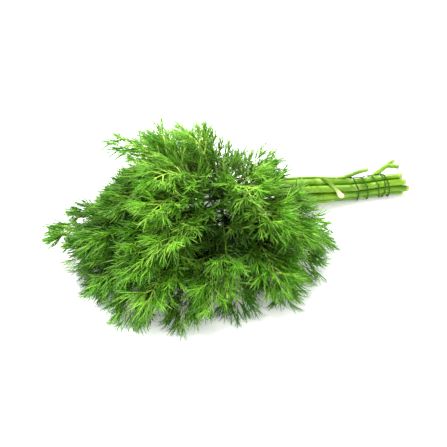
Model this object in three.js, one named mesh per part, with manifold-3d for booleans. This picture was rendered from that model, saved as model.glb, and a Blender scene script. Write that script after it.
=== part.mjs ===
// A bunch of fresh dill lying on its side, its stems tied together with green twine.
//
// Millimetres, +Z up. +X runs along the stems to their cut ends, and the foliage is the mound at -X.
// The bunch rests on the plane Z = 0. Lengths below are measured from the middle of the mound, and the
// whole group is moved at the end so that its origin is the middle of the bottom of its box.
//
// Stems run from the cut ends, through the tie and up into the mound. Every leaf stands on one stem
// and reaches out to the mound's outside, so the leaves lie over each other like the jets of a fountain.

import * as THREE from "three";
import { mergeVertices } from "three/addons/utils/BufferGeometryUtils.js";
import Module from "manifold-3d";

const wasm = await Module();
wasm.setup();

// ---------------------------------------------------------------- driving dimensions, mm

const GAP = 0.3; // clear air between pieces that touch

const STEM_SIDES = 8;
const STEM_STEPS = 14;
const STEM_RADIUS = 2.75; // a thick stem at its cut end
const STEM_TIP_RADIUS = 1.3; // the same stem inside the mound
const STEM_VARIETY = 0.05; // how much thicker or thinner than that a stem may be
const STEM_PITCH = 6.05; // centre to centre in the tied bundle
const THIN_STEM_RADIUS = 1.4;
const THIN_STEM_TIP_RADIUS = 0.9;
const THIN_STEM_OFFSET = 8.7; // a thin stem lies in the groove between two thick ones
const FIRST_THICK_ANGLE = 28; // degrees around the bundle, from +Y towards +Z
// A flare is how far a cut end stands out from the bundle, and the share of the bundle's line over
// which it does. The lift raises the shoot out of its groove. The twine runs over a stem up to its heldTo.
const NO_FLARE = { y: 0, z: 0, share: 1 };
const STUB_FLARE = { y: 2.9, z: 5.2, share: 0.145 }; // the thin stem that is broken off over the tie
const STUB_HELD_TO = 0;
const SHOOT_FLARE = { y: 11, z: 10, share: 0.128 }; // the side shoot that forks at its cut end
const SHOOT_LIFT = 2.4;
const SHOOT_HELD_TO = 178;
const SHOOT_RADIUS = 2.4;
const SHOOT_FORK = { x: 1.5, y: 6.5, z: 4 }; // the tip of its second tine, from the shoot's own tip
const SHOOT_FORK_AT = 0.45; // where the second tine starts, as a share of the flare

const TWINE_RADIUS = 0.8;
const TWINE_SLACK = 0.55; // between the twine and the stems that it is pulled around
const TWINE_SIDES = 6;
const TWINE_STEPS_PER_TURN = 18;
const TIE_X = 155; // the first turn of the twine
const TURN_OFFSETS = [0, 4.5, 16, 26, 28, 33]; // where each turn starts along the bundle
const KNOT_RADIUS = 1.7;
const KNOT_SIDES = 8;
const KNOT_RINGS = 6;
const TAIL = new THREE.Vector3(-1.5, 3.2, 4.6); // from a knot to the end of its loose tail
const FIRST_ANGLE = -30; // where the winding starts, in degrees around the bundle

// A cut leaf stalk lies slantwise over the bundle and ends in its pale, flattened sheath.
const CUT_STALK = { fromX: 125, toX: 141, fromAngle: 85, toAngle: 195, radius: 1.1, sheath: 2.6 };
const CUT_STALK_POINTS = 7;
const CUT_STALK_STEPS = 8;

const MOUND = { alongX: 110, alongY: 103, height: 100, fullness: 2.6, centreY: -6 };
const LEAF_SIDES = 8;
const LEAF_STEPS = 8;
const LEAF_HALF_WIDTH = 13.5;
const LEAF_SLENDERNESS = 0.17; // a short leaf is no wider, each way, than this share of its length
const LEAF_HALF_THICKNESS = 2.3;
const STALK_RADIUS = 0.95;
const STALK_SHARE = 0.36; // the part of a leaf's length that is bare stalk
const LEAF_BOW = { low: 15, high: 26 }; // how far a leaf bows upwards, on the table and at the top

// Each ring of leaves ends at one height of the mound, from the table upwards. A tip is given by its
// azimuth, in degrees from +X towards +Y, and its reach, which is 1 on the mound's outline.
const LEAF_RINGS = [
  {
    tipHeight: 0.8,
    tips: [
      [62, 0.88], [98, 0.88], [125, 0.84], [151, 0.88], [178, 0.88], [200, 0.98], [224, 1.12],
      [246, 1.07], [269, 0.99], [290, 1.06], [311, 0.97], [339, 1.04],
    ],
  },
  {
    tipHeight: 21,
    tips: [
      [38, 0.9], [75, 0.88], [106, 0.84], [143, 0.76], [170, 1.12], [187, 0.98], [210, 1.04],
      [234, 1.17], [257, 1.14], [284, 1.14], [324, 0.94],
    ],
  },
  {
    tipHeight: 40,
    tips: [
      [22, 0.78], [55, 0.66], [92, 0.82], [124, 0.62], [156, 0.74], [195, 0.95], [226, 1.07],
      [264, 1.07], [303, 1.02],
    ],
  },
  {
    tipHeight: 58,
    tips: [[3, 0.67], [38, 0.4], [90, 0.84], [138, 0.52], [186, 0.72], [238, 1.02], [291, 1.0]],
  },
  {
    tipHeight: 76,
    tips: [[68, 0.5], [106, 0.74], [172, 0.56], [226, 0.96], [290, 0.84]],
  },
  {
    tipHeight: 90,
    tips: [[86, 0.56], [144, 1.1], [214, 0.88]],
  },
];

// The middle line of the bundle, from the cut ends into the mound.
const BUNDLE_LINE = new THREE.CatmullRomCurve3([
  new THREE.Vector3(207, 12.5, 10.4),
  new THREE.Vector3(188, 15, 11.4),
  new THREE.Vector3(158, 18.5, 11.4),
  new THREE.Vector3(133, 20, 14.4),
  new THREE.Vector3(105, 18, 20),
  new THREE.Vector3(60, 10, 31),
  new THREE.Vector3(20, 1, 41),
  new THREE.Vector3(-14, -5, 45),
]);
const TIED_FROM = 0.07; // the shares of the line that the tie holds together
const TIED_TO = 0.24;
const CUT_END_SPREAD = 1.12;
const NECK_SPREAD = 1.25; // how much the bundle loosens above the tie
const NECK_TO = 0.42;
const CROWN_SPREAD = 1.18; // how much further the stems fan out at their upper ends
const CROWN_FROM = 0.68; // the share of the line where the first leaves stand

const UP = new THREE.Vector3(0, 0, 1);

// The share of the bundle's line that lies at x, where the line runs almost along X.
function shareAt(x) {
  return (BUNDLE_LINE.points[0].x - x) / BUNDLE_LINE.getLength();
}

// ---------------------------------------------------------------- materials

const stemGreen = new THREE.MeshStandardMaterial({ color: 0x74a82e, roughness: 0.5, metalness: 0 });
const leafGreen = new THREE.MeshStandardMaterial({ color: 0x4f8a22, roughness: 0.6, metalness: 0 });
const stalkGreen = new THREE.MeshStandardMaterial({ color: 0xa4c65a, roughness: 0.5, metalness: 0 });
const twineGreen = new THREE.MeshStandardMaterial({ color: 0x2f5a24, roughness: 0.8, metalness: 0 });

// ---------------------------------------------------------------- helpers

const lerp = THREE.MathUtils.lerp;
const smooth = THREE.MathUtils.smoothstep;
const degrees = THREE.MathUtils.degToRad;

// A closed cylinder bent so that its section at share t of its length is the ellipse station(t):
// { centre, tangent, across, halfAcross, halfThick }. "across" is kept square to the tangent.
function bentCylinder(sides, steps, station) {
  const geometry = new THREE.CylinderGeometry(1, 1, 1, sides, steps);
  geometry.deleteAttribute("normal");
  geometry.deleteAttribute("uv");
  const place = geometry.attributes.position;
  const point = new THREE.Vector3();
  for (let i = 0; i < place.count; i += 1) {
    point.fromBufferAttribute(place, i);
    const { centre, tangent, across, halfAcross, halfThick } = station(point.y + 0.5);
    const side = across.clone().addScaledVector(tangent, -across.dot(tangent)).normalize();
    const normal = new THREE.Vector3().crossVectors(side, tangent);
    const moved = centre.clone();
    moved.addScaledVector(side, point.x * halfAcross);
    moved.addScaledVector(normal, point.z * halfThick);
    place.setXYZ(i, moved.x, moved.y, moved.z);
  }
  return mergeVertices(geometry);
}

function toSolid(geometry) {
  const vertProperties = new Float32Array(geometry.attributes.position.array);
  const triVerts = new Uint32Array(geometry.index.array);
  return new wasm.Manifold(new wasm.Mesh({ numProp: 3, vertProperties, triVerts }));
}

function toGeometry(solid) {
  const mesh = solid.getMesh();
  const geometry = new THREE.BufferGeometry();
  geometry.setAttribute("position", new THREE.BufferAttribute(mesh.vertProperties, 3));
  geometry.setIndex(new THREE.BufferAttribute(mesh.triVerts, 1));
  return geometry;
}

function joined(geometries) {
  return toGeometry(geometries.map(toSolid).reduce((whole, next) => whole.add(next)));
}

function named(name, geometry, material) {
  geometry.computeVertexNormals();
  const mesh = new THREE.Mesh(geometry, material);
  mesh.name = name;
  return mesh;
}

// ---------------------------------------------------------------- stems

// One thick stem in the middle, six around it, and thin ones in the grooves outside.
// "start" is where the cut end is along the bundle's line, and "end" is where the stem's tip is.
function bundlePlaces() {
  const thick = { radius: STEM_RADIUS, tip: STEM_TIP_RADIUS, flare: NO_FLARE, heldTo: Infinity };
  const thin = { ...thick, radius: THIN_STEM_RADIUS, tip: THIN_STEM_TIP_RADIUS };
  const around = (offset, angle) => ({
    y: offset * Math.cos(degrees(angle)),
    z: offset * Math.sin(degrees(angle)),
  });
  const starts = [0.012, 0.03, 0.016, 0.0, 0.006, 0.024];
  const ends = [0.9, 0.97, 0.86, 0.93, 1.0, 0.95];
  const places = [{ ...thick, y: 0, z: 0, start: 0.02, end: 1 }];
  starts.forEach((start, i) => {
    const place = around(STEM_PITCH, FIRST_THICK_ANGLE + 60 * i);
    const radius = STEM_RADIUS * (1 + STEM_VARIETY * Math.cos(2.4 * i));
    places.push({ ...thick, ...place, radius, start, end: ends[i] });
  });
  const groove = (i, lift = 0) => around(THIN_STEM_OFFSET + lift, FIRST_THICK_ANGLE + 60 * i + 30);
  const stub = { ...thin, flare: STUB_FLARE, heldTo: STUB_HELD_TO };
  const shoot = { ...thin, radius: SHOOT_RADIUS, flare: SHOOT_FLARE, heldTo: SHOOT_HELD_TO };
  places.push({ ...stub, ...groove(0), start: 0.152, end: 0.6 });
  places.push({ ...shoot, ...groove(5, SHOOT_LIFT), start: 0.018, end: 0.57 });
  places.push({ ...thin, ...groove(3), start: 0.02, end: 0.55 });
  places.push({ ...thin, ...groove(4), start: 0.035, end: 0.58 });
  return places;
}

const STEMS = bundlePlaces();

function spreadAt(share) {
  const atCut = lerp(CUT_END_SPREAD, 1, smooth(share, 0, TIED_FROM));
  const atNeck = lerp(1, NECK_SPREAD, smooth(share, TIED_TO, NECK_TO));
  const atCrown = lerp(1, CROWN_SPREAD, smooth(share, NECK_TO, 1));
  return atCut * atNeck * atCrown;
}

// A stem's section at a share of the bundle's line.
function stemSection(stem, share) {
  const tangent = BUNDLE_LINE.getTangentAt(share);
  const across = new THREE.Vector3().crossVectors(tangent, UP).normalize();
  const rise = new THREE.Vector3().crossVectors(across, tangent);
  const spread = spreadAt(share);
  const flare = 1 - smooth(share, stem.start, stem.start + stem.flare.share);
  const centre = BUNDLE_LINE.getPointAt(share);
  centre.addScaledVector(across, stem.y * spread + stem.flare.y * flare);
  centre.addScaledVector(rise, stem.z * spread + stem.flare.z * flare);
  const radius = lerp(stem.radius, stem.tip, smooth(share, NECK_TO, 1));
  return { centre, tangent, across, radius };
}

function stemGeometry(stem) {
  const stalk = bentCylinder(STEM_SIDES, STEM_STEPS, (t) => {
    const section = stemSection(stem, lerp(stem.start, stem.end, t));
    return { ...section, halfAcross: section.radius, halfThick: section.radius };
  });
  return stem.flare === SHOOT_FLARE ? joined([stalk, forkGeometry(stem)]) : stalk;
}

// The second tine of the side shoot that forks just before its cut end.
function forkGeometry(stem) {
  const root = stemSection(stem, stem.start + SHOOT_FLARE.share * SHOOT_FORK_AT);
  const tip = stemSection(stem, stem.start).centre;
  tip.add(new THREE.Vector3(SHOOT_FORK.x, -SHOOT_FORK.y, -SHOOT_FORK.z));
  const line = new THREE.LineCurve3(root.centre, tip);
  return bentCylinder(STEM_SIDES, 1, (t) => ({
    centre: line.getPoint(t),
    tangent: line.getTangent(t),
    across: root.across,
    halfAcross: root.radius * lerp(0.9, 0.7, t),
    halfThick: root.radius * lerp(0.9, 0.7, t),
  }));
}

// ---------------------------------------------------------------- leaves

// The mound's outline at an azimuth and a height.
function moundPoint(azimuth, height, reach) {
  const fill = (1 - (height / MOUND.height) ** MOUND.fullness) ** (1 / MOUND.fullness);
  const x = MOUND.alongX * Math.cos(azimuth) * fill * reach;
  const y = MOUND.centreY + MOUND.alongY * Math.sin(azimuth) * fill * reach;
  return new THREE.Vector3(x, y, height);
}

// The stalk's foot: just clear of the bundle, on the side that faces the leaf's tip.
function leafFoot(tip, azimuth, fill) {
  const share = 1 - (1 - CROWN_FROM) * 0.5 * (1 + Math.cos(azimuth) * fill);
  const tangent = BUNDLE_LINE.getTangentAt(share);
  const foot = BUNDLE_LINE.getPointAt(share);
  const outward = tip.clone().sub(foot);
  outward.addScaledVector(tangent, -outward.dot(tangent)).normalize();
  const stemRadius = lerp(STEM_RADIUS, STEM_TIP_RADIUS, smooth(share, NECK_TO, 1));
  const bundleRadius = STEM_PITCH * spreadAt(share) + stemRadius;
  return foot.addScaledVector(outward, bundleRadius + GAP + STALK_RADIUS * 1.5);
}

function leafGeometry(azimuth, height, reach) {
  const tip = moundPoint(azimuth, height, reach);
  const fill = Math.hypot(tip.x / MOUND.alongX, (tip.y - MOUND.centreY) / MOUND.alongY);
  const foot = leafFoot(tip, azimuth, Math.min(fill, 1));
  const bow = foot.clone().lerp(tip, 0.45);
  bow.z += lerp(LEAF_BOW.low, LEAF_BOW.high, height / MOUND.height);
  const line = new THREE.QuadraticBezierCurve3(foot, bow, tip);
  const heading = tip.clone().sub(foot).setZ(0).normalize();
  const across = new THREE.Vector3().crossVectors(heading, UP);
  const halfWidth = Math.min(LEAF_HALF_WIDTH, LEAF_SLENDERNESS * line.getLength());
  return bentCylinder(LEAF_SIDES, LEAF_STEPS, (t) => {
    const blade = Math.max(0, (t - STALK_SHARE) / (1 - STALK_SHARE));
    const swell = Math.sin(Math.PI * blade ** 0.85);
    const stalk = STALK_RADIUS * lerp(1.25, 0.7, t);
    return {
      centre: line.getPoint(t),
      tangent: line.getTangent(t),
      across,
      halfAcross: stalk + (halfWidth - stalk) * swell,
      halfThick: stalk + (LEAF_HALF_THICKNESS - stalk) * swell,
    };
  });
}

// ---------------------------------------------------------------- twine

// Where a taut loop around the bundle lies for an outward direction of the loop.
function tautPoint(angle, x) {
  const out = { y: Math.cos(angle), z: Math.sin(angle) };
  let held = STEMS[0];
  let furthest = -Infinity;
  for (const stem of STEMS.filter(({ heldTo }) => x < heldTo)) {
    const support = stem.y * out.y + stem.z * out.z + stem.radius;
    if (support > furthest) {
      furthest = support;
      held = stem;
    }
  }
  const offset = held.radius + TWINE_SLACK + TWINE_RADIUS;
  return { y: held.y + out.y * offset, z: held.z + out.z * offset };
}

const TURNS = TURN_OFFSETS.length - 1;

function twineStation(t) {
  const turn = Math.min(t * TURNS, TURNS - 1e-6);
  const index = Math.floor(turn);
  const offset = lerp(TURN_OFFSETS[index], TURN_OFFSETS[index + 1], turn - index);
  const angle = degrees(FIRST_ANGLE) + 2 * Math.PI * turn;
  const { y, z } = tautPoint(angle, TIE_X + offset);
  const middle = BUNDLE_LINE.getPointAt(shareAt(TIE_X + offset));
  return {
    centre: new THREE.Vector3(TIE_X + offset, middle.y + y, middle.z + z),
    tangent: new THREE.Vector3(0, -Math.sin(angle), Math.cos(angle)),
    across: new THREE.Vector3(1, 0, 0),
    halfAcross: TWINE_RADIUS,
    halfThick: TWINE_RADIUS,
  };
}

function knotAndTail(t) {
  const { centre, tangent } = twineStation(t);
  const outward = new THREE.Vector3(0, tangent.z, -tangent.y);
  centre.addScaledVector(outward, KNOT_RADIUS - TWINE_RADIUS);
  const knot = new THREE.SphereGeometry(KNOT_RADIUS, KNOT_SIDES, KNOT_RINGS);
  knot.deleteAttribute("normal");
  knot.deleteAttribute("uv");
  const lump = mergeVertices(knot.translate(centre.x, centre.y, centre.z));
  const line = new THREE.LineCurve3(centre, centre.clone().add(TAIL));
  const tail = bentCylinder(TWINE_SIDES, 1, (share) => ({
    centre: line.getPoint(share),
    tangent: line.getTangent(share),
    across: new THREE.Vector3(1, 0, 0),
    halfAcross: TWINE_RADIUS,
    halfThick: TWINE_RADIUS,
  }));
  return [lump, tail];
}

function twineGeometry() {
  const winding = bentCylinder(TWINE_SIDES, TURNS * TWINE_STEPS_PER_TURN, twineStation);
  return joined([winding, ...knotAndTail(0), ...knotAndTail(1)]);
}

// ---------------------------------------------------------------- the cut leaf stalk

function cutStalkGeometry() {
  const points = [];
  const outward = (share) => {
    const angle = degrees(lerp(CUT_STALK.fromAngle, CUT_STALK.toAngle, share));
    return new THREE.Vector3(0, Math.cos(angle), Math.sin(angle));
  };
  const clearance = STEM_RADIUS * (1 + STEM_VARIETY) + 2 * GAP + CUT_STALK.radius;
  for (let i = 0; i < CUT_STALK_POINTS; i += 1) {
    const share = i / (CUT_STALK_POINTS - 1);
    const x = lerp(CUT_STALK.fromX, CUT_STALK.toX, share);
    const along = shareAt(x);
    const reach = STEM_PITCH * spreadAt(along) + clearance;
    points.push(BUNDLE_LINE.getPointAt(along).addScaledVector(outward(share), reach));
  }
  const line = new THREE.CatmullRomCurve3(points);
  return bentCylinder(STEM_SIDES, CUT_STALK_STEPS, (t) => {
    const tangent = line.getTangentAt(t);
    const flat = smooth(t, 0.6, 1);
    return {
      centre: line.getPointAt(t),
      tangent,
      across: new THREE.Vector3().crossVectors(tangent, outward(t)),
      halfAcross: lerp(CUT_STALK.radius, CUT_STALK.sheath, flat),
      halfThick: CUT_STALK.radius,
    };
  });
}

// ---------------------------------------------------------------- the bunch

const group = new THREE.Group();

STEMS.forEach((stem, i) => {
  group.add(named(`stem_${String(i + 1).padStart(2, "0")}`, stemGeometry(stem), stemGreen));
});

let leafNumber = 0;
for (const ring of LEAF_RINGS) {
  for (const [azimuth, reach] of ring.tips) {
    leafNumber += 1;
    const name = `leaf_${String(leafNumber).padStart(2, "0")}`;
    group.add(named(name, leafGeometry(degrees(azimuth), ring.tipHeight, reach), leafGreen));
  }
}

group.add(named("cut_leaf_stalk", cutStalkGeometry(), stalkGreen));
group.add(named("twine", twineGeometry(), twineGreen));

const box = new THREE.Box3().setFromObject(group);
const middle = box.getCenter(new THREE.Vector3());
group.position.set(-middle.x, -middle.y, -box.min.z);

export default group;
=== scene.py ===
"""Looks for a bunch of fresh dill: ribbed stems, feathery leaves, a cut leaf stalk and a twine tie.

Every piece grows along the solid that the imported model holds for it, in metres and in the same frame.
"""

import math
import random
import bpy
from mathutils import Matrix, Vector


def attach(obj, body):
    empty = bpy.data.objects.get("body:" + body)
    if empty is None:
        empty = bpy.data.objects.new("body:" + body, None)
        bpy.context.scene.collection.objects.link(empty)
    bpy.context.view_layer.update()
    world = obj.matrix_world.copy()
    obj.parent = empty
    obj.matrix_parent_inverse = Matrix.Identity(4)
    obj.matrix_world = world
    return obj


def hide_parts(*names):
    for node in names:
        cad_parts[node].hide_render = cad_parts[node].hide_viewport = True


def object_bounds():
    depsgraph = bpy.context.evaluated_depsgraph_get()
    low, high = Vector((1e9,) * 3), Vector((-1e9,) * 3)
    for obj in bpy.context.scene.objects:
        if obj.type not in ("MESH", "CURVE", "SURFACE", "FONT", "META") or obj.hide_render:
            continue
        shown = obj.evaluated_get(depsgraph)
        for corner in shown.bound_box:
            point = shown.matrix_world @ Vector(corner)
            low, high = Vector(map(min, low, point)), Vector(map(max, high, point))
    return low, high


bl_info = {
    "name": "Dill Bunch",
    "version": (1, 0, 0),
    "blender": (4, 5, 0),
    "location": "3D View > Sidebar > Dill",
    "description": "Grows the stems, leaves and twine of a bunch of dill on its packed solids",
    "category": "Object",
}

import bmesh
import bpy
import numpy as np
from mathutils import Matrix, Quaternion, Vector

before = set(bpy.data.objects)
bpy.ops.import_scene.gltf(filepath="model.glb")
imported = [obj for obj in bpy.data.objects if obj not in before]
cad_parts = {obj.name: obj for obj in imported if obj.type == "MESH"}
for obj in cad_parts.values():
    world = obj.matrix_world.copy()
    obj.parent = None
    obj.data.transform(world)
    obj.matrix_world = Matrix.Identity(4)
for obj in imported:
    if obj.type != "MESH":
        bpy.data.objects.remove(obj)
CAD_BOX = [list(corner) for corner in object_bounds()]

MM = 0.001
UP = Vector((0, 0, 1))
CAD_SIDES = 8  # every stem, leaf and stalk solid has eight sides
MERGE = 0.01 * MM
FLAT = 0.9999  # at least this much of one normal lies along another on a flat end

STEM_NODES = sorted(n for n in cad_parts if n.startswith("stem_"))
LEAF_NODES = sorted(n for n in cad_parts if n.startswith("leaf_"))
STALK_NODE = "cut_leaf_stalk"
TWINE_NODE = "twine"
STUB, SHOOT = "stem_08", "stem_09"  # one is broken off above the tie, one stands out of it and forks


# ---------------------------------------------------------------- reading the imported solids


def merged_copy(node):
    """A copy of a solid with its shared vertices joined."""
    bm = bmesh.new()
    bm.from_mesh(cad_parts[node].data)
    bmesh.ops.remove_doubles(bm, verts=bm.verts, dist=MERGE)
    bm.verts.index_update()
    return bm


def cap_middles(bm):
    """The middle vertex of each flat end of a swept solid."""

    def is_flat(vertex):
        first = vertex.link_faces[0].normal
        return all(face.normal.dot(first) > FLAT for face in vertex.link_faces)

    return [v for v in bm.verts if len(v.link_edges) == CAD_SIDES and is_flat(v)]


def rings_from(cap):
    """The rings of vertices that follow one another from an end cap, up to the first that isn't a ring."""
    seen = {cap}
    ring = [cap]
    rings = []
    while True:
        near = {edge.other_vert(v) for v in ring for edge in v.link_edges} - seen
        if len(near) != CAD_SIDES:
            return rings
        ring = sorted(near, key=lambda v: v.index)
        seen.update(ring)
        rings.append([v.co.copy() for v in ring])


def middle(points):
    return sum(points, Vector()) / len(points)


def sweeps(node):
    """The rings that start at each end cap of a swept solid, longest run first."""
    bm = merged_copy(node)
    runs = [(cap.co.copy(), rings_from(cap)) for cap in cap_middles(bm)]
    bm.free()
    return sorted(runs, key=lambda run: -len(run[1]))


# ---------------------------------------------------------------- lines, tubes and pieces


def ramp(share, start, end):
    """Rises evenly from 0 at the start to 1 at the end, which may come before the start."""
    return np.clip((share - start) / (end - start), 0, 1)


def smooth_points(points, count):
    """count points, evenly spread over a smooth line through the given points."""
    given = np.array([tuple(p) for p in points])
    slopes = np.gradient(given, axis=0)
    place = np.linspace(0, len(given) - 1, count)
    index = np.minimum(place.astype(int), len(given) - 2)
    t = (place - index)[:, None]
    a, b = given[index], given[index + 1]
    ta, tb = slopes[index], slopes[index + 1]
    line = (
        (2 * t**3 - 3 * t**2 + 1) * a
        + (t**3 - 2 * t**2 + t) * ta
        + (3 * t**2 - 2 * t**3) * b
        + (t**3 - t**2) * tb
    )
    return [Vector(p) for p in line]


def frames_along(points, normal=UP):
    """A turned frame at each point, with Z along the line and no twist from one to the next."""
    frames = []
    ahead = (points[1] - points[0]).normalized()
    across = normal.cross(ahead).normalized()
    turn = Matrix((across, ahead.cross(across), ahead)).transposed().to_quaternion()
    for i, point in enumerate(points):
        before, after = points[max(i - 1, 0)], points[min(i + 1, len(points) - 1)]
        now = (after - before).normalized()
        turn = ahead.rotation_difference(now) @ turn
        ahead = now
        frames.append((point, turn.copy()))
    return frames


def tube(points, radii, sides, ridge=0.0, flat=None, normal=UP):
    """A closed tube: a disc is extruded from point to point. Odd corners are lower by the ridge."""
    bm = bmesh.new()
    disc = bmesh.ops.create_circle(bm, cap_ends=True, segments=sides, radius=1)
    for i, corner in enumerate(disc["verts"]):
        if i % 2:
            corner.co *= 1 - ridge
    face = bm.faces[:][0]
    here = Matrix()
    for i, (point, turn) in enumerate(frames_along(points, normal)):
        thin = flat[i] if flat else 1.0
        place = Matrix.LocRotScale(point, turn, Vector((radii[i], radii[i] * thin, 1)))
        if i:
            region = bmesh.ops.extrude_face_region(bm, geom=[face])["geom"]
            face = next(g for g in region if isinstance(g, bmesh.types.BMFace))
        bmesh.ops.transform(bm, matrix=place @ here.inverted(), verts=face.verts)
        here = place
    bmesh.ops.recalc_face_normals(bm, faces=bm.faces)
    return bm


def add_mesh(big, bm):
    """Adds a bmesh to a bigger one, frees it, and gives its number of vertices."""
    mesh = bpy.data.meshes.new("part")
    bm.to_mesh(mesh)
    bm.free()
    big.from_mesh(mesh)
    count = len(mesh.vertices)
    bpy.data.meshes.remove(mesh)
    return count


def as_object(bm, name, material, attributes=None):
    """Makes a finished piece of a bmesh, smooth, with float attributes by vertex."""
    mesh = bpy.data.meshes.new(name)
    bm.to_mesh(mesh)
    bm.free()
    mesh.shade_smooth()
    for key, values in (attributes or {}).items():
        layer = mesh.attributes.get(key) or mesh.attributes.new(key, "FLOAT", "POINT")
        layer.data.foreach_set("value", np.asarray(values, dtype=np.float32))
    mesh.materials.append(material)
    piece = bpy.data.objects.new(name, mesh)
    bpy.context.scene.collection.objects.link(piece)
    return piece


# ---------------------------------------------------------------- sizes and colours


class DillSizes(bpy.types.PropertyGroup):
    """Sizes that a user may change."""

    thread_radius: bpy.props.FloatProperty(
        name="Thread radius",
        description="Half the thickness of a leaf's fine threads",
        default=0.34 * MM,
        min=0.1 * MM,
        unit="LENGTH",
    )
    thread_length: bpy.props.FloatProperty(
        name="Thread length",
        description="Length of a leaf's longest threads",
        default=17 * MM,
        min=2 * MM,
        unit="LENGTH",
    )
    tuft_length: bpy.props.FloatProperty(
        name="Tuft length",
        description="Length of a branchlet with its threads",
        default=23 * MM,
        unit="LENGTH",
    )
    tuft_spacing: bpy.props.FloatProperty(
        name="Tuft spacing",
        description="From one pair of branchlets to the next along a side branch",
        default=6.5 * MM,
        unit="LENGTH",
    )
    pinna_spacing: bpy.props.FloatProperty(
        name="Side branch spacing",
        description="From one pair of side branches to the next along a leaf",
        default=6 * MM,
        unit="LENGTH",
    )
    pinna_share: bpy.props.FloatProperty(
        name="Side branch share",
        description="Longest side branch of a leaf, as a share of the leaf's length",
        default=0.3,
        min=0.1,
        max=0.6,
        subtype="FACTOR",
    )
    pinna_limit: bpy.props.FloatProperty(
        name="Side branch limit",
        description="No side branch of a leaf is longer than this",
        default=28 * MM,
        unit="LENGTH",
    )
    twine_ply_radius: bpy.props.FloatProperty(
        name="Twine ply radius",
        description="Half the thickness of one of the twine's twisted plies",
        default=0.36 * MM,
        unit="LENGTH",
    )
    view_azimuth: bpy.props.FloatProperty(
        name="View azimuth",
        description="Where the camera stands around the bunch",
        default=math.radians(-21),
        subtype="ANGLE",
    )
    view_elevation: bpy.props.FloatProperty(
        name="View elevation",
        description="How far above the table the camera stands",
        default=math.radians(33),
        subtype="ANGLE",
    )
    view_distance: bpy.props.FloatProperty(
        name="View distance",
        description="From the camera to the point that it looks at",
        default=0.795,
        unit="LENGTH",
    )
    view_target: bpy.props.FloatVectorProperty(
        name="View target",
        description="The point that the camera looks at",
        default=(-0.0248, -0.0031, 0.030),
        subtype="TRANSLATION",
    )


def colour_property(name, description, default):
    return bpy.props.FloatVectorProperty(
        name=name, description=description, default=default, size=4, min=0, max=1, subtype="COLOR"
    )


class DillColours(bpy.types.PropertyGroup):
    """Colours that a user may change, in linear light."""

    thread: colour_property("Thread", "Threads of a leaf", (0.11, 0.44, 0.001, 1))
    thread_dark: colour_property("Dark thread", "Darkest threads", (0.007, 0.075, 0.001, 1))
    # Threads reach the light tint by chance and on leaves that stand high in the bunch.
    thread_light: colour_property("Light thread", "Youngest threads", (0.50, 0.82, 0.11, 1))
    # Painted shade: the colour that threads deep inside the bunch and by the hollow are darkened towards.
    inner: colour_property("Inner", "Threads deep inside the bunch", (0.003, 0.028, 0.001, 1))
    rib: colour_property("Rib", "Ribs and stalks of a leaf", (0.44, 0.70, 0.07, 1))
    stem: colour_property("Stem", "Stems", (0.21, 0.40, 0.006, 1))
    stem_dark: colour_property("Dark stem", "Grooves and shaded streaks of stems", (0.075, 0.2, 0.004, 1))
    pale: colour_property("Pale", "Joints and sheaths", (0.46, 0.58, 0.16, 1))
    pith: colour_property("Pith", "Pith in the cut ends", (0.48, 0.52, 0.16, 1))
    sheath: colour_property("Sheath", "The flat end of the cut leaf stalk", (0.76, 0.78, 0.46, 1))
    twine: colour_property("Twine", "Twine", (0.024, 0.075, 0.008, 1))


# ---------------------------------------------------------------- materials

WHITE = (1, 1, 1, 1)
FLOOR_COLOUR = (0.96, 0.96, 0.96, 1)
FLOOR_GLOW = 0.22
TWINE_DARKER = 0.45
TWINE_LIGHTER = 2.2


def new_material(name, roughness, specular):
    material = bpy.data.materials.new(name)
    material.use_nodes = True
    shader = material.node_tree.nodes["Principled BSDF"]
    shader.inputs["Roughness"].default_value = roughness
    shader.inputs["Specular IOR Level"].default_value = specular
    return material, shader


def node(tree, kind, values=None, **settings):
    """Adds a shader node, with the values of its unlinked inputs and its settings."""
    made = tree.nodes.new(kind)
    for key, value in settings.items():
        setattr(made, key, value)
    for key, value in (values or {}).items():
        made.inputs[key].default_value = value
    return made


def blend_colour(tree, factor, a, b):
    """Mixes two colours, each a socket or a value, by a factor socket."""
    mix = node(tree, "ShaderNodeMix", data_type="RGBA")
    tree.links.new(factor, mix.inputs["Factor"])
    for socket, colour in ((mix.inputs[6], a), (mix.inputs[7], b)):
        if isinstance(colour, bpy.types.NodeSocket):
            tree.links.new(colour, socket)
        else:
            socket.default_value = colour
    return mix.outputs[2]


def attribute(tree, name):
    return node(tree, "ShaderNodeAttribute", attribute_name=name).outputs["Fac"]


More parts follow.
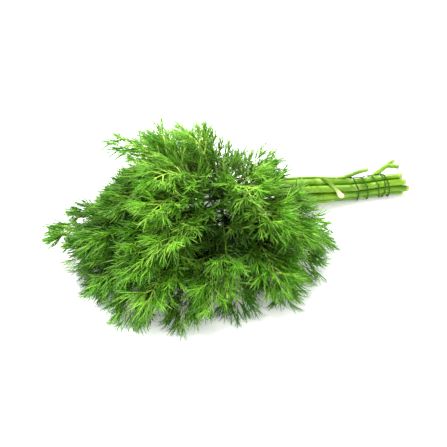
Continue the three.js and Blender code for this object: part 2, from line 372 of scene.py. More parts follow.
def mottle_group():
    """Green plant skin: streaks and blotches as one mask, from the piece's own coordinates."""
    name = "Plant mottle"
    if name in bpy.data.node_groups:
        return bpy.data.node_groups[name]
    group = bpy.data.node_groups.new(name, "ShaderNodeTree")
    for label, default in (("Blotch scale", 60.0), ("Streak scale", 900.0), ("Contrast", 1.0)):
        socket = group.interface.new_socket(label, in_out="INPUT", socket_type="NodeSocketFloat")
        socket.default_value = default
    group.interface.new_socket("Mask", in_out="OUTPUT", socket_type="NodeSocketFloat")
    group.interface.new_socket("Streaks", in_out="OUTPUT", socket_type="NodeSocketFloat")
    inside = group.nodes.new("NodeGroupInput")
    out = group.nodes.new("NodeGroupOutput")
    place = node(group, "ShaderNodeTexCoord")
    along = node(group, "ShaderNodeMapping", {"Scale": (0.06, 1.0, 1.0)})
    blotch = node(group, "ShaderNodeTexNoise", {"Detail": 3.0})
    streak = node(group, "ShaderNodeTexNoise", {"Detail": 2.0})
    halved = node(group, "ShaderNodeMath", {1: 0.5}, operation="MULTIPLY")
    total = node(group, "ShaderNodeMath", {1: 0.5}, operation="MULTIPLY_ADD")
    centred = node(group, "ShaderNodeMath", {1: 0.5}, operation="SUBTRACT")
    spread = node(group, "ShaderNodeMath", {2: 0.5}, operation="MULTIPLY_ADD", use_clamp=True)
    links = group.links
    links.new(place.outputs["Object"], blotch.inputs["Vector"])
    links.new(place.outputs["Object"], along.inputs["Vector"])
    links.new(along.outputs["Vector"], streak.inputs["Vector"])
    links.new(inside.outputs["Blotch scale"], blotch.inputs["Scale"])
    links.new(inside.outputs["Streak scale"], streak.inputs["Scale"])
    links.new(blotch.outputs["Fac"], halved.inputs[0])
    links.new(streak.outputs["Fac"], total.inputs[0])
    links.new(halved.outputs[0], total.inputs[2])
    links.new(total.outputs[0], centred.inputs[0])
    links.new(centred.outputs[0], spread.inputs[0])
    links.new(inside.outputs["Contrast"], spread.inputs[1])
    links.new(spread.outputs[0], out.inputs["Mask"])
    links.new(streak.outputs["Fac"], out.inputs["Streaks"])
    return group


def mottle(tree, blotch, streak, contrast):
    """Places the plant mottle in a material, with its own scales and contrast."""
    values = {"Blotch scale": blotch, "Streak scale": streak, "Contrast": contrast}
    return node(tree, "ShaderNodeGroup", values, node_tree=mottle_group())


def leaf_material(colours):
    """Yellow-green ribs, threads that differ in tint and darken at the tip, and painted shade deep in the
    bunch.
    """
    material, shader = new_material("dill_leaf", roughness=0.36, specular=0.32)
    tree = material.node_tree
    skin = mottle(tree, blotch=45.0, streak=700.0, contrast=1.8)
    tone = blend_colour(tree, attribute(tree, "tint"), colours.thread_dark, colours.thread_light)
    body = blend_colour(tree, skin.outputs["Mask"], tone, colours.thread)
    tip = node(tree, "ShaderNodeMapRange", {"From Min": 0.85, "From Max": 1.0, "To Max": 0.4})
    tree.links.new(attribute(tree, "growth"), tip.inputs["Value"])
    body = blend_colour(tree, tip.outputs["Result"], body, colours.thread_dark)
    fade = node(tree, "ShaderNodeMapRange", {"From Min": 0.0, "From Max": 0.6})
    tree.links.new(attribute(tree, "growth"), fade.inputs["Value"])
    whole = blend_colour(tree, fade.outputs["Result"], colours.rib, body)
    # Painted shade: vertices deep in the bunch and by the hollow are mixed towards the inner colour.
    shaded = blend_colour(tree, attribute(tree, "inner"), whole, colours.inner)
    tree.links.new(shaded, shader.inputs["Base Color"])
    return material


def stem_material(name, colours, cut):
    """Waxy ribbed green with darker grooves, pale joints and its own colour at the cut."""
    material, shader = new_material(name, roughness=0.34, specular=0.35)
    tree = material.node_tree
    skin = mottle(tree, blotch=40.0, streak=1100.0, contrast=3.2)
    green = blend_colour(tree, skin.outputs["Mask"], colours.stem_dark, colours.stem)
    jointed = blend_colour(tree, attribute(tree, "pale"), green, colours.pale)
    whole = blend_colour(tree, attribute(tree, "pith"), jointed, cut)
    bump = node(tree, "ShaderNodeBump", {"Strength": 0.35, "Distance": 0.15 * MM})
    tree.links.new(skin.outputs["Streaks"], bump.inputs["Height"])
    tree.links.new(bump.outputs["Normal"], shader.inputs["Normal"])
    tree.links.new(whole, shader.inputs["Base Color"])
    return material


def twine_material(colours):
    """Dull fibre, mottled from darker to lighter than the twine's own colour."""
    material, shader = new_material("green_twine", roughness=0.8, specular=0.1)
    tree = material.node_tree
    skin = mottle(tree, blotch=500.0, streak=3000.0, contrast=2.0)
    darker = tuple(c * TWINE_DARKER for c in colours.twine[:3]) + (1.0,)
    lighter = tuple(min(1.0, c * TWINE_LIGHTER) for c in colours.twine[:3]) + (1.0,)
    whole = blend_colour(tree, skin.outputs["Mask"], darker, lighter)
    tree.links.new(whole, shader.inputs["Base Color"])
    return material


def floor_material():
    """A pale floor that glows a little, so that its far side stays white."""
    material, shader = new_material("pale_floor", roughness=0.6, specular=0.1)
    shader.inputs["Base Color"].default_value = FLOOR_COLOUR
    shader.inputs["Emission Color"].default_value = WHITE
    shader.inputs["Emission Strength"].default_value = FLOOR_GLOW
    return material


# ---------------------------------------------------------------- stems

STEM_SIDES = 20
STEM_RINGS = 64
RIDGE = 0.07  # depth of the grooves between a stem's ribs, in its radii
STEM_SEED = 200
STEM_LINES = {}  # middle line and radii of each stem, once they have been read

# Places along a stem are shares of its length, from its cut end.
THICKER = 0.4 * MM  # what a whole stem gains between the tie and the leaves
THICKER_FROM, THICKER_FULL, THICKER_LAST, THICKER_TO = 0.2, 0.32, 0.55, 0.75
SHOOT_NARROW, SHOOT_GAIN, SHOOT_FULL = 0.75, 0.35, 0.1
STUB_STOUT, STUB_STOUT_TO, STUB_SLIM_FROM = 0.3, 0.25, 0.35
STUB_FLARE, STUB_BROKEN_TO, STUB_PALE = 0.25, 0.12, 0.7
JOINT_PLACES = ((0.22, 0.42), (0.55, 0.8))
JOINT_LENGTH, JOINT_SWELL, JOINT_PALE = 0.012, 0.08, 0.4
CUT_INSETS = ((0.0, 0.16), (-0.12, 0.12))  # depth and width of the steps in a cut end, in its radii

FORK_SIDES = 10
FORK_RINGS = 8
FORK_REACH = 9.6 * MM  # how far from its own end the second tine leaves the shoot
FORK_ARCH = 0.4 * MM
FORK_FOOT, FORK_TIP = 1.3, 1.2  # its radii, in the radius of its solid's first ring


def ring_sizes(rings):
    """The middle and the radius of each ring of a round solid."""
    centres = [middle(ring) for ring in rings]
    return centres, [(ring[0] - c).length for ring, c in zip(rings, centres)]


def first_radius(run):
    """The radius of the ring next to a run's end cap."""
    return ring_sizes(run[1])[1][0]


def stem_line(name):
    """A stem's middle line from its cut end, with its radius at each point."""
    if name not in STEM_LINES:
        runs = sweeps(name)
        centres, sizes = ring_sizes(runs[0][1])
        if len(runs) > 2:
            more, more_sizes = ring_sizes(max(runs[1:], key=first_radius)[1])
            centres += more[::-1]
            sizes += more_sizes[::-1]
        if centres[0].x < centres[-1].x:
            centres.reverse()
            sizes.reverse()
        STEM_LINES[name] = (centres, sizes)
    return STEM_LINES[name]


def fork_tube():
    """The shoot's second tine, from its own end to the middle of the shoot."""
    cap, rings = min(sweeps(SHOOT)[1:], key=first_radius)
    centres, _ = stem_line(SHOOT)
    line = smooth_points(centres, STEM_RINGS)
    root = min(line, key=lambda p: abs((p - cap).length - FORK_REACH))
    radius = ring_sizes(rings)[1][0]
    points = smooth_points([root, root.lerp(cap, 0.5) + UP * FORK_ARCH, cap], FORK_RINGS)
    radii = list(radius * np.linspace(FORK_FOOT, FORK_TIP, FORK_RINGS))
    return tube(points, radii, FORK_SIDES, ridge=RIDGE)


def stem_shape(name, rng):
    """A stem's radius and paleness at each of its rings."""
    _, sizes = stem_line(name)
    share = np.linspace(0, 1, STEM_RINGS)
    radii = np.interp(share, np.linspace(0, 1, len(sizes)), sizes)
    pale = np.zeros(STEM_RINGS)
    if name == SHOOT:
        radii = radii * (SHOOT_NARROW + SHOOT_GAIN * ramp(share, 0, SHOOT_FULL))
    elif name == STUB:
        broken = ramp(share, STUB_BROKEN_TO, 0)
        stout = ramp(share, STUB_SLIM_FROM, STUB_STOUT_TO)
        radii = radii * (1 + STUB_STOUT * stout + STUB_FLARE * broken)
        pale = STUB_PALE * broken
    else:
        rise = ramp(share, THICKER_FROM, THICKER_FULL)
        radii = radii + THICKER * rise * ramp(share, THICKER_TO, THICKER_LAST)
    for place in JOINT_PLACES:
        bell = np.exp(-(((share - rng.uniform(*place)) / JOINT_LENGTH) ** 2))
        radii = radii * (1 + JOINT_SWELL * bell)
        pale = np.maximum(pale, JOINT_PALE * bell)
    return radii, pale


def grow_stem(name, material, rng):
    """A ribbed stem with swollen joints and pith in its cut end. The shoot gets its second tine."""
    centres, _ = stem_line(name)
    points = smooth_points(centres, STEM_RINGS)
    radii, pale = stem_shape(name, rng)
    bm = tube(points, list(radii), STEM_SIDES, ridge=RIDGE)
    pale = np.repeat(pale, STEM_SIDES)
    cap = min(bm.faces, key=lambda f: -len(f.verts) + (f.calc_center_median() - points[0]).length)
    for depth, width in CUT_INSETS:
        bmesh.ops.inset_region(bm, faces=[cap], thickness=width * radii[0], depth=depth * radii[0])
    cut = len(bm.verts) - len(pale)
    tine = add_mesh(bm, fork_tube()) if name == SHOOT else 0
    values = {
        "pale": np.concatenate([pale, np.zeros(cut + tine)]),
        "pith": np.concatenate([np.zeros(len(pale)), np.ones(cut), np.zeros(tine)]),
    }
    piece = as_object(bm, name + "_skin", material, values)
    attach(piece, "root")
    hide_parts(name)


# ---------------------------------------------------------------- leaves


# Growth runs from 0 at a leaf's rib to 1 at the tip of a thread.
RIB_AGE, TWIG_AGE, THREAD_AGE = 0.12, 0.38, 0.55
THREAD_BENDS = (1.0, 5.0, 10.0)  # how far the tips of the three templates lean, in thread radii
THREAD_CUTS = (0.3, 0.6, 0.85)
THREAD_SIDES, RIB_SIDES = 3, 4
THREAD_TAPER, THREAD_POINT, POINT_POWER = 0.12, 0.62, 7  # slim all along, then a short point
RIB_TAPER = 0.9

# The loose hollow in front between the leaves, as a line with room around it.
HOLLOW = (Vector((-0.049, -0.076, 0.067)), Vector((-0.041, -0.054, 0.052)))
HOLLOW_RADIUS = 11 * MM

# Angles are in degrees. A spread is the standard deviation of a random part.
THREAD_RADII = (0.85, 1.1)
THREAD_LENGTHS = (0.7, 1.05)
THREAD_OPENING = (6, 30)
THREAD_FLOW = 0.3  # how much a thread turns the way that its leaf points
THREAD_TINT_SPREAD = 0.33
THREAD_SPREAD = 0.11
END_THREAD_SHARE, END_THREAD_LENGTHS = 0.6, (0.9, 1.15)

TUFT_PAIRS = 3
LONG_TUFT = 16 * MM  # a longer tuft has one more pair of threads
TUFT_RIB_SHARE = 0.42
TUFT_THREAD_SHARE = 0.66
TUFT_BEND_SPREAD = 0.09
TUFT_SIZES = (0.75, 1.1)
TUFT_OPENING = (18, 42)
TUFT_ROLL_SPREAD = 0.65
TUFT_SPREAD = 0.12
TUFT_FLOW = 0.4
TUFT_SHRINK = 0.2
END_TUFT_SIZES = (0.75, 1)
TWIG_OVERLAP, TWIG_RADIUS, TWIG_THINNING = 1.06, 1.15, 0.1

PINNA_RADIUS = 1.8  # in thread radii
PINNA_THINNING = 0.25
PINNA_OVERLAP = 1.05
PINNA_TINT_SPREAD = 0.16
PINNA_BEND_SPREAD = 0.1
PINNA_FLOW = 0.06


def unit_rod(sides, top):
    """A closed rod that stands on the origin, one unit long and one in radius at its foot."""
    bm = bmesh.new()
    bmesh.ops.create_cone(bm, cap_ends=True, segments=sides, radius1=1, radius2=top, depth=1)
    bmesh.ops.translate(bm, verts=bm.verts, vec=(0, 0, 0.5))
    return bm


def as_template(bm, name):
    """Keeps a bmesh as a mesh that copies are made of."""
    mesh = bpy.data.meshes.new(name)
    bm.to_mesh(mesh)
    bm.free()
    return mesh


def thread_template(name, bend):
    """A slender thread with a short point, one unit long and one in radius, that bends to one side."""
    bm = unit_rod(THREAD_SIDES, 1)
    for height in THREAD_CUTS:
        everything = bm.verts[:] + bm.edges[:] + bm.faces[:]
        bmesh.ops.bisect_plane(bm, geom=everything, plane_co=(0, 0, height), plane_no=UP)
    growth = bm.verts.layers.float.new("growth")
    for vertex in bm.verts:
        height = vertex.co.z
        taper = 1 - THREAD_TAPER * height - THREAD_POINT * height**POINT_POWER
        vertex.co.x = vertex.co.x * taper + bend * height**2
        vertex.co.y *= taper
        vertex[growth] = THREAD_AGE + (1 - THREAD_AGE) * height
    return as_template(bm, name)


def rib_template(name, age):
    """A short straight rib, one unit long and one in radius at its foot."""
    bm = unit_rod(RIB_SIDES, RIB_TAPER)
    growth = bm.verts.layers.float.new("growth")
    for vertex in bm.verts:
        vertex[growth] = age
    return as_template(bm, name)


def in_hollow(place):
    """Whether a place is in the hollow, where only bare stalks cross."""
    start, end = HOLLOW
    axis = end - start
    share = min(1.0, max(0.0, (place - start).dot(axis) / axis.length_squared))
    return (place - start - axis * share).length < HOLLOW_RADIUS


def within_one(value):
    """The value, or the nearer of 0 and 1 where it is outside them."""
    return min(1.0, max(0.0, value))


class LeafGrowth:
    """One leaf's blade, built up of copies of the thread and rib templates."""

    def __init__(self, threads, ribs, sizes, rng, tint):
        self.bm = bmesh.new()
        self.bm.verts.layers.float.new("growth")
        self.threads = threads
        self.rib, self.twig = ribs
        self.sizes = sizes
        self.rng = rng
        self.leaf_tint = tint
        self.tint = tint
        self.tints = []  # number of vertices and tint of each part, in the order in which they came
        self.flow = UP

    def put(self, template, foot, heading, length, radius):
        """Adds a copy of a template, turned about its length by chance."""
        turn = heading.to_track_quat("Z", "Y")
        turn = turn @ Quaternion(UP, self.rng.uniform(0, 2 * math.pi))
        mesh = template.copy()
        mesh.transform(Matrix.LocRotScale(foot, turn, Vector((radius, radius, length))))
        self.bm.from_mesh(mesh)
        self.tints.append((len(mesh.vertices), self.tint))
        bpy.data.meshes.remove(mesh)

    def stalk(self, line, radii):
        """The leaf's own bare stalk and midrib."""
        self.tints.append((add_mesh(self.bm, tube(line, radii, STALK_SIDES)), self.leaf_tint))

    def thread(self, foot, heading, length):
        template = self.rng.choice(self.threads)
        radius = self.sizes.thread_radius * self.rng.uniform(*THREAD_RADII)
        heading = (heading + self.flow * THREAD_FLOW).normalized()
        whole = self.tint
        self.tint = within_one(whole + self.rng.gauss(0, THREAD_TINT_SPREAD))
        self.put(template, foot, heading, length, radius)
        self.tint = whole

    def random_push(self, spread):
        return Vector([self.rng.gauss(0, spread) for _ in range(3)])

    def jitter(self, heading, spread):
        return (heading + self.random_push(spread)).normalized()

    def tuft(self, foot, heading, normal, length):
        """A side branchlet: a thin rib with pairs of long threads and one at its end."""
        if in_hollow(foot):
            return
        rng = self.rng
        pairs = TUFT_PAIRS + (length > LONG_TUFT)
        step = TUFT_RIB_SHARE * length / pairs
        radius = self.sizes.thread_radius
        reach = min(TUFT_THREAD_SHARE * length, self.sizes.thread_length)
        bend = self.random_push(TUFT_BEND_SPREAD)
        place = foot
        for i in range(pairs):
            thickness = radius * (TWIG_RADIUS - TWIG_THINNING * i)
            self.put(self.twig, place, heading, step * TWIG_OVERLAP, thickness)
            place = place + heading * step
            for side in (-1, 1):
                opened = Quaternion(normal, side * math.radians(rng.uniform(*THREAD_OPENING)))
                along = self.jitter(opened @ heading, THREAD_SPREAD)
                self.thread(place, along, reach * rng.uniform(*THREAD_LENGTHS))
            heading = (heading + bend).normalized()
        reach = min(END_THREAD_SHARE * length, self.sizes.thread_length)
        self.thread(place, heading, reach * rng.uniform(*END_THREAD_LENGTHS))

    def pinna(self, foot, heading, normal, length):
        """A side branch of the leaf: a curved rib with pairs of tufts and one at its end."""
        rng = self.rng
        self.tint = within_one(self.leaf_tint + rng.gauss(0, PINNA_TINT_SPREAD))
        pairs = round(length / self.sizes.tuft_spacing)
        step = length / max(pairs, 1)
        place = foot
        radius = self.sizes.thread_radius * PINNA_RADIUS
        bend = self.random_push(PINNA_BEND_SPREAD) + self.flow * PINNA_FLOW
        for i in range(pairs):
            share = i / pairs
            thickness = radius * (1 - PINNA_THINNING * share)
            self.put(self.rib, place, heading, step * PINNA_OVERLAP, thickness)
            place = place + heading * step
            for side in (-1, 1):
                roll = Quaternion(heading, rng.gauss(0, TUFT_ROLL_SPREAD))
                opening = side * math.radians(rng.uniform(*TUFT_OPENING))
                out = Quaternion(roll @ normal, opening)
                size = self.sizes.tuft_length * (1 - TUFT_SHRINK * share) * rng.uniform(*TUFT_SIZES)
                along = self.jitter(out @ heading, TUFT_SPREAD) + self.flow * TUFT_FLOW
                self.tuft(place, along.normalized(), roll @ normal, size)
            heading = (heading + bend).normalized()
        self.tuft(place, heading, normal, self.sizes.tuft_length * rng.uniform(*END_TUFT_SIZES))


TINTED = {"leaf_46": -0.5, "leaf_17": 0.05, "leaf_28": 0.25, "leaf_05": 0.2}  # darker or paler leaves
SLIM = {"leaf_46": 0.55, "leaf_17": 0.9, "leaf_12": 0.5, "leaf_23": 0.65}  # leaves that stand out alone
# Leaves with side branches almost down to the stem.
FULL = ("leaf_30", "leaf_31", "leaf_38", "leaf_39", "leaf_43", "leaf_44", "leaf_47")

# Places along a leaf are shares of its length, from its foot.
FULL_FROM = 0.03
BLADE_FROM = 0.15
BLADE_TO = 0.86
BLADE_CROWDING = 0.9  # below 1, the side branches stand closer to each other towards the tip
LEAF_END = 0.9
RACHIS_RINGS = 22
STALK_SIDES = 6
STALK_FOOT_RADII = (1.2 * MM, 1.3 * MM)  # inside the stem, and where the stalk leaves it
STALK_RADIUS, STALK_THINNING, STALK_THINNING_POWER = 1.15, 0.8, 0.8  # in mm, from foot to tip
STALK_BEND_PLACE = 0.6

LEAF_SEED = 1000
# Leaves are lighter the higher their tips stand in the bunch.
LEAF_TINT, LEAF_TINT_BY_HEIGHT, LEAF_TINT_SPREAD = 0.2, 0.45, 0.1
LOOSE_FROM, LOOSENESS = 0.65, 0.9  # leaves higher than this share of the bunch are looser
PINNA_SIZES = (0.85, 1.1)
PINNA_OPENING, PINNA_CLOSING = 58, 26
PINNA_OPENINGS = (0.8, 1.2)
PINNA_LIFT, PINNA_LIFT_SPREAD = 0.1, 0.3


def leaf_line(name):
    """A leaf's middle line and heading as functions of share, and its across direction."""
    bm = merged_copy(name)
    caps = cap_middles(bm)
    rings = rings_from(caps[0])
    bm.free()
    centres = [middle(ring) for ring in rings]
    spans = [max((corner - c).length for corner in ring) for ring, c in zip(rings, centres)]
    half = len(spans) // 2
    if sum(spans[:half]) > sum(spans[-half:]):
        centres, spans, rings = centres[::-1], spans[::-1], rings[::-1]
    widest = spans.index(max(spans))
    across = max((corner - centres[widest] for corner in rings[widest]), key=lambda v: v.length)
    share = np.linspace(0, 1, len(centres))
    curve = np.polyfit(share, np.array([tuple(c) for c in centres]), 2)

    def point(t):
        return Vector(curve[0] * t * t + curve[1] * t + curve[2])

    def heading(t):
        return Vector(2 * curve[0] * t + curve[1]).normalized()

    return point, heading, across.normalized()


TABLE_SKIN = 3.0 * MM  # below this height, threads settle on the table
EDGE_SKIN = 5 * MM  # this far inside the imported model's box, threads start to bend over
EDGE_SPARE = 12 * MM


def settle(bm):
    """Threads that would pass through the table lie flat on it, and the furthest ones bend over."""
    for vertex in bm.verts:
        if vertex.co.z < TABLE_SKIN:
            vertex.co.z = TABLE_SKIN * math.exp((vertex.co.z - TABLE_SKIN) / TABLE_SKIN)
        for axis, edge in enumerate(CAD_BOX[1]):
            inside = edge - EDGE_SKIN
            past = abs(vertex.co[axis]) - inside
            if past > 0:
                furthest = inside + EDGE_SPARE * (1 - math.exp(-past / EDGE_SPARE))
                vertex.co[axis] = math.copysign(furthest, vertex.co[axis])


# Painted shade: threads deep inside the mound of leaves and by the hollow are darkened towards the inner
# colour.
MOUND_MIDDLE = Vector((-0.05, 0.004, 0.015))
MOUND_HALF = Vector((0.112, 0.1, 0.08))
MOUND_SKIN = 0.42  # the painted shade inside is darkest this far in, in half sizes of the mound
SHADE_FROM, SHADE_FULL = 46 * MM, 16 * MM  # distances from the hollow's middle
SHADE_OUTSIDE, SHADE_INSIDE = 1.08, 0.88
SHADE = 0.85
PAINTED_SHADE_MOST = 0.92


def painted_shade_inside(bm):
    """How much painted shade each vertex gets, from 0 near the mound's outside: deep in the leaves or by
    the hollow.
    """
    places = np.array([tuple(v.co) for v in bm.verts])
    out = np.linalg.norm((places - MOUND_MIDDLE) / MOUND_HALF, axis=1)
    deep = ramp(out, 1.0, 1.0 - MOUND_SKIN)
    away = np.linalg.norm(places - (HOLLOW[0] + HOLLOW[1]) / 2, axis=1)
    dim = SHADE * ramp(away, SHADE_FROM, SHADE_FULL) * ramp(out, SHADE_OUTSIDE, SHADE_INSIDE)
    return np.maximum(deep, dim) * PAINTED_SHADE_MOST


def nearest_stem_point(place):
    """The point on a stem's middle line that is nearest to a leaf's foot."""
    found = None
    for name in STEM_NODES:
        centres, _ = stem_line(name)
        for point in smooth_points(centres, STEM_RINGS):
            distance = (point - place).length
            if found is None or distance < found[0]:
                found = (distance, point)
    return found[1]


def grow_leaf(name, threads, ribs, sizes, material, number):
    """A leaf with its stalk on the nearest stem, a midrib and pairs of side branches."""
    rng = random.Random(LEAF_SEED + number)
    point, heading, across = leaf_line(name)
    length = (point(1) - point(0.5)).length + (point(0.5) - point(0)).length
    height = point(LEAF_END).z / (CAD_BOX[1][2] - CAD_BOX[0][2])
    tint = LEAF_TINT + LEAF_TINT_BY_HEIGHT * height + rng.gauss(0, LEAF_TINT_SPREAD)
    growth = LeafGrowth(threads, ribs, sizes, rng, tint + TINTED.get(name, 0.0))

    foot = nearest_stem_point(point(0))
    shares = np.linspace(0, LEAF_END, RACHIS_RINGS)
    line = [foot, foot.lerp(point(0), STALK_BEND_PLACE)] + [point(t) for t in shares]
    radii = [(STALK_RADIUS - STALK_THINNING * t**STALK_THINNING_POWER) * MM for t in shares]
    growth.stalk(line, [*STALK_FOOT_RADII, *radii])

    longest = min(sizes.pinna_limit, sizes.pinna_share * length) * SLIM.get(name, 1.0)
    loose = 1 + LOOSENESS * max(0.0, height - LOOSE_FROM)
    start = FULL_FROM if name in FULL else BLADE_FROM
    pairs = round((BLADE_TO - start) * length / (sizes.pinna_spacing * loose))
    for i in range(pairs):
        blade = i / (pairs - 1)
        t = start + (BLADE_TO - start) * blade**BLADE_CROWDING
        if in_hollow(point(t)):
            continue
        ahead = heading(t)
        normal = across.cross(ahead)
        if normal.z < 0:
            normal.negate()
        growth.flow = ahead
        size = longest * (1 - blade) ** 0.5 * rng.uniform(*PINNA_SIZES)
        opening = math.radians(PINNA_OPENING - PINNA_CLOSING * blade)
        for side in (-1, 1):
            out = Quaternion(normal, side * opening * rng.uniform(*PINNA_OPENINGS)) @ ahead
            out = (out + normal * rng.gauss(PINNA_LIFT, PINNA_LIFT_SPREAD)).normalized()
            growth.pinna(point(t), out, normal, size)
    growth.pinna(point(LEAF_END), heading(LEAF_END), normal, 0)

    settle(growth.bm)
    counts, tints = zip(*growth.tints)
    # The inner attribute holds the painted shade.
    values = {"tint": np.repeat(tints, counts), "inner": painted_shade_inside(growth.bm)}
    return as_object(growth.bm, name + "_blade", material, values)


# ---------------------------------------------------------------- twine

TIE_FROM = 0.1112  # where the twine's first turn starts
TURN_OFFSETS = (0.0, 0.0045, 0.016, 0.026, 0.028, 0.033)  # where each turn starts after that, along X
HELD_TO = {STUB: 0.0, SHOOT: 0.1342}  # how far along X the twine runs over these two
FIRST_ANGLE = -30
TWINE_STEPS = 60
TWINE_SMOOTHING = 3
TWINE_WOBBLE = 0.5 * MM  # how far the turns stray along X
WOBBLES = ((1.0, 9.7, 0.0), (0.6, 23.0, 1.0))  # size, rate and phase of each wave of that
TWINE_LIFT = 1.0 * MM  # the twine's middle line, from the stems that it is pulled around
PLIES = 2
PLY_SIDES = 6
PLY_PITCH = 3.2 * MM
PLY_OFFSET = 0.85  # of a ply's middle line from the twine's, in ply radii
KNOT_RADIUS = 1.3 * MM
KNOT_STEPS = 24
KNOT_LEAN = 0.6
KNOT_OUT, KNOT_LIFT, KNOT_ALONG = 0.9, 0.5, 1.2  # the loops' half height, middle and half length
KNOT_PLY, KNOT_PITCH = 0.33, 3
TAIL = Vector((-1.5, 3.2, 4.6)) * MM
TAIL_SAG = Vector((0, 0.3, -0.5))  # in mm, at the tail's end
TAIL_STEPS = 12
TAIL_START = 0.8  # mm out from the turn that it leaves


def circles_at(x):
    """The middle and radius of every stem that the twine runs over at x."""
    circles = []
    for name in STEM_NODES:
        centres, sizes = stem_line(name)
        line = np.array([tuple(c) for c in centres])[::-1]
        radii = np.array(sizes)[::-1]
        if min(line[-1, 0], HELD_TO.get(name, 1)) < x:
            continue
        circles.append([np.interp(x, line[:, 0], row) for row in (line[:, 1], line[:, 2], radii)])
    return circles


def winding_point(turn):
    """A point on the twine's middle line, and the way out from the bundle there."""
    index = min(int(turn), len(TURN_OFFSETS) - 2)
    start, end = TURN_OFFSETS[index : index + 2]
    x = TIE_FROM + start + (end - start) * (turn - index)
    x += TWINE_WOBBLE * sum(size * math.sin(rate * turn + phase) for size, rate, phase in WOBBLES)
    angle = math.radians(FIRST_ANGLE) + 2 * math.pi * turn
    out = Vector((0, math.cos(angle), math.sin(angle)))
    held = max(circles_at(x), key=lambda c: c[0] * out.y + c[1] * out.z + c[2])
    return Vector((x, held[0], held[1])) + out * (held[2] + TWINE_LIFT), out


def twisted(points, radius, pitch, big):
    """Adds plies that twist around a line to a bmesh."""
    frames = frames_along(points)
    for ply in range(PLIES):
        path = []
        length = 0.0
        for i, (point, turn) in enumerate(frames):
            if i:
                length += (point - frames[i - 1][0]).length
            phase = 2 * math.pi * (length / pitch + ply / PLIES)
            offset = turn @ Vector((math.cos(phase), math.sin(phase), 0)) * radius * PLY_OFFSET
            path.append(point + offset)
        add_mesh(big, tube(path, [radius] * len(path), PLY_SIDES))


def knot(point, out, radius, big):
    """A half hitch: two small crossed loops, all sizes in its radius."""
    for lean in (-KNOT_LEAN, KNOT_LEAN):
        loop = []
        for i in range(KNOT_STEPS + 1):
            angle = 2 * math.pi * i / KNOT_STEPS
            loop.append(
                point
                + out * (radius * KNOT_OUT * math.sin(angle) + radius * KNOT_LIFT)
                + Vector((1, lean, 0)) * (radius * KNOT_ALONG * math.cos(angle))
            )
        twisted(loop, radius * KNOT_PLY, radius * KNOT_PITCH, big)


def tail_line(point, out):
    """A short tail that leaves the last turn and droops a little."""
    steps = [i / TAIL_STEPS for i in range(TAIL_STEPS + 1)]
    start = point + out * TAIL_START * MM
    return [start + TAIL * t + TAIL_SAG * MM * t**2 for t in steps]


# ---------------------------------------------------------------- the cut leaf stalk

SHEATH_RINGS = 30
SHEATH_SIDES = 14
SHEATH_WIDER, SHEATH_THICKER = 1.3, 1.5
SHEATH_ROUND_FROM, SHEATH_ROUND_LENGTH, SHEATH_ROUND_MOST = 0.84, 0.17, 0.97
SHEATH_PALE = (0.35, 0.75)  # where the stalk starts to be pale and where it is fully so
SHEATH_FLAT = (0.62, 0.82)  # the same for the sheath's own colour


def grow_sheath(colours):
    """The slanting stalk, which widens into a flat pale sheath with a rounded end."""
    rings = min(sweeps(STALK_NODE), key=lambda run: run[0].x)[1]
    centres = [middle(ring) for ring in rings]
    reaches = [[(p - c).length for p in ring] for ring, c in zip(rings, centres)]
    points = smooth_points(centres, SHEATH_RINGS)
    steps = np.linspace(0, 1, SHEATH_RINGS)
    given = np.linspace(0, 1, len(rings))
    wide = np.interp(steps, given, [max(reach) for reach in reaches])
    thin = np.interp(steps, given, [min(reach) for reach in reaches])
    past = np.clip((steps - SHEATH_ROUND_FROM) / SHEATH_ROUND_LENGTH, 0, SHEATH_ROUND_MOST)
    rounded = np.sqrt(1 - past**2)
    wide, thin = wide * rounded * SHEATH_WIDER, thin * rounded * SHEATH_THICKER
    axis = middle([Vector((0, c[0], c[1])) for c in circles_at(points[-1].x)])
    normal = (Vector((0, points[-1].y, points[-1].z)) - axis).normalized()
    bm = tube(points, list(wide), SHEATH_SIDES, flat=list(thin / wide), normal=normal)
    pale = np.repeat(ramp(steps, *SHEATH_PALE), SHEATH_SIDES)
    pith = np.repeat(ramp(steps, *SHEATH_FLAT), SHEATH_SIDES)
    material = stem_material("leaf_sheath", colours, colours.sheath)
    return as_object(bm, "cut_leaf_stalk_skin", material, {"pale": pale, "pith": pith})


# ---------------------------------------------------------------- operators


class DILL_OT_twine(bpy.types.Operator):
    """Wind the twine around the stems"""

    bl_idname = "dill.twine"
    bl_label = "Twine"

    def execute(self, context):
        radius = context.scene.dill_sizes.twine_ply_radius
        big = bmesh.new()
        turns = len(TURN_OFFSETS) - 1
        count = turns * TWINE_STEPS + 1
        places = [winding_point(turns * i / (count - 1)) for i in range(count)]
        points = [p for p, _ in places]
        for _ in range(TWINE_SMOOTHING):
            inner = [(points[i - 1] + points[i] * 2 + points[i + 1]) / 4 for i in range(1, count - 1)]
            points = [points[0], *inner, points[-1]]
        twisted(points, radius, PLY_PITCH, big)
        for point, out in (places[0], places[-1]):
            knot(point, out, KNOT_RADIUS, big)
            twisted(tail_line(point, out), radius, PLY_PITCH, big)
        piece = as_object(big, "twine_strand", twine_material(context.scene.dill_colours))
        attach(piece, "root")
        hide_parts(TWINE_NODE)
        return {"FINISHED"}


class DILL_OT_stalk(bpy.types.Operator):
    """Grow the cut leaf stalk and its pale sheath"""

    bl_idname = "dill.stalk"
    bl_label = "Cut leaf stalk"

    def execute(self, context):
        piece = grow_sheath(context.scene.dill_colours)
        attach(piece, "root")
        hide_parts(STALK_NODE)
        return {"FINISHED"}


class DILL_OT_stems(bpy.types.Operator):
    """Grow the ribbed stems"""

    bl_idname = "dill.stems"
    bl_label = "Stems"

    def execute(self, context):
        colours = context.scene.dill_colours
        material = stem_material("dill_stem", colours, colours.pith)
        for number, name in enumerate(STEM_NODES):
            grow_stem(name, material, random.Random(STEM_SEED + number))
        return {"FINISHED"}


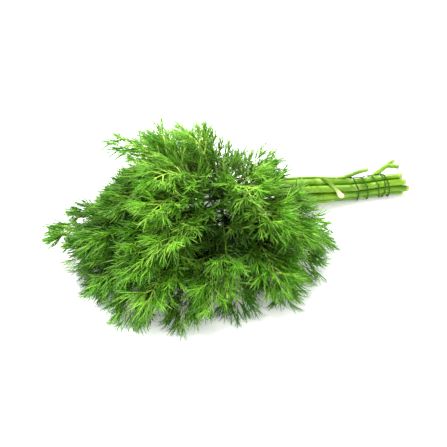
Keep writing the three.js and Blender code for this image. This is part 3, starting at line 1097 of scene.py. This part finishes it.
class DILL_OT_leaves(bpy.types.Operator):
    """Grow the feathery leaves"""

    bl_idname = "dill.leaves"
    bl_label = "Leaves"

    def execute(self, context):
        material = leaf_material(context.scene.dill_colours)
        sizes = context.scene.dill_sizes
        threads = [thread_template(f"thread_{i}", bend) for i, bend in enumerate(THREAD_BENDS)]
        ribs = (rib_template("rib", RIB_AGE), rib_template("twig", TWIG_AGE))
        for number, name in enumerate(LEAF_NODES):
            piece = grow_leaf(name, threads, ribs, sizes, material, number)
            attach(piece, "root")
            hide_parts(name)
        for mesh in (*threads, *ribs):
            bpy.data.meshes.remove(mesh)
        return {"FINISHED"}


FLOOR_HALF = 6
WORLD_LIGHT = 1.1
LIGHTS = {  # place, size and power
    "key": ((-0.35, 0.5, 1.3), 0.8, 46),
    "fill": ((0.5, -1.2, 0.9), 1.0, 5),
}
LENS = 80
SENSOR = 36


class DILL_OT_stage(bpy.types.Operator):
    """Set the pale floor, the soft lights and the camera"""

    bl_idname = "dill.stage"
    bl_label = "Stage"

    def execute(self, context):
        scene = context.scene
        sizes = scene.dill_sizes
        bm = bmesh.new()
        bmesh.ops.create_grid(bm, x_segments=1, y_segments=1, size=FLOOR_HALF)
        floor = as_object(bm, "floor", floor_material())
        world = bpy.data.worlds.new("soft_white")
        world.use_nodes = True
        sky = world.node_tree.nodes["Background"]
        sky.inputs["Color"].default_value = WHITE
        sky.inputs["Strength"].default_value = WORLD_LIGHT
        scene.world = world
        scene.view_settings.view_transform = "Standard"
        for name, settings in LIGHTS.items():
            self.light(name, *settings)
        azimuth, elevation = sizes.view_azimuth, sizes.view_elevation
        target = Vector(sizes.view_target)
        back = Vector((
            math.sin(azimuth) * math.cos(elevation),
            -math.cos(azimuth) * math.cos(elevation),
            math.sin(elevation),
        ))
        camera = bpy.data.objects.new("camera", bpy.data.cameras.new("camera"))
        camera.data.lens = LENS
        camera.data.sensor_width = SENSOR
        camera.location = target + back * sizes.view_distance
        camera.rotation_euler = back.to_track_quat("Z", "Y").to_euler()
        scene.collection.objects.link(camera)
        scene.camera = camera
        return {"FINISHED"}

    def light(self, name, place, size, power):
        """A soft square light that faces the bunch."""
        data = bpy.data.lights.new(name, "AREA")
        data.size = size
        data.energy = power
        lamp = bpy.data.objects.new(name, data)
        lamp.location = place
        lamp.rotation_euler = Vector(place).to_track_quat("Z", "Y").to_euler()
        bpy.context.scene.collection.objects.link(lamp)


class DILL_PT_panel(bpy.types.Panel):
    """The steps that make the bunch, and its sizes and colours"""

    bl_label = "Dill Bunch"
    bl_idname = "DILL_PT_panel"
    bl_space_type = "VIEW_3D"
    bl_region_type = "UI"
    bl_category = "Dill"

    def draw(self, context):
        for step in STEPS:
            self.layout.operator(step.bl_idname)
        for group in (context.scene.dill_sizes, context.scene.dill_colours):
            for key in type(group).__annotations__:
                self.layout.prop(group, key)


STEPS = (DILL_OT_stage, DILL_OT_stems, DILL_OT_stalk, DILL_OT_twine, DILL_OT_leaves)
CLASSES = (DillSizes, DillColours, *STEPS, DILL_PT_panel)


def register():
    for item in CLASSES:
        bpy.utils.register_class(item)
    bpy.types.Scene.dill_sizes = bpy.props.PointerProperty(type=DillSizes)
    bpy.types.Scene.dill_colours = bpy.props.PointerProperty(type=DillColours)


def unregister():
    del bpy.types.Scene.dill_colours
    del bpy.types.Scene.dill_sizes
    for item in reversed(CLASSES):
        bpy.utils.unregister_class(item)


def main():
    register()
    bpy.ops.dill.stage()
    bpy.ops.dill.stems()
    bpy.ops.dill.stalk()
    bpy.ops.dill.twine()
    bpy.ops.dill.leaves()


if __name__ == "__main__":
    main()
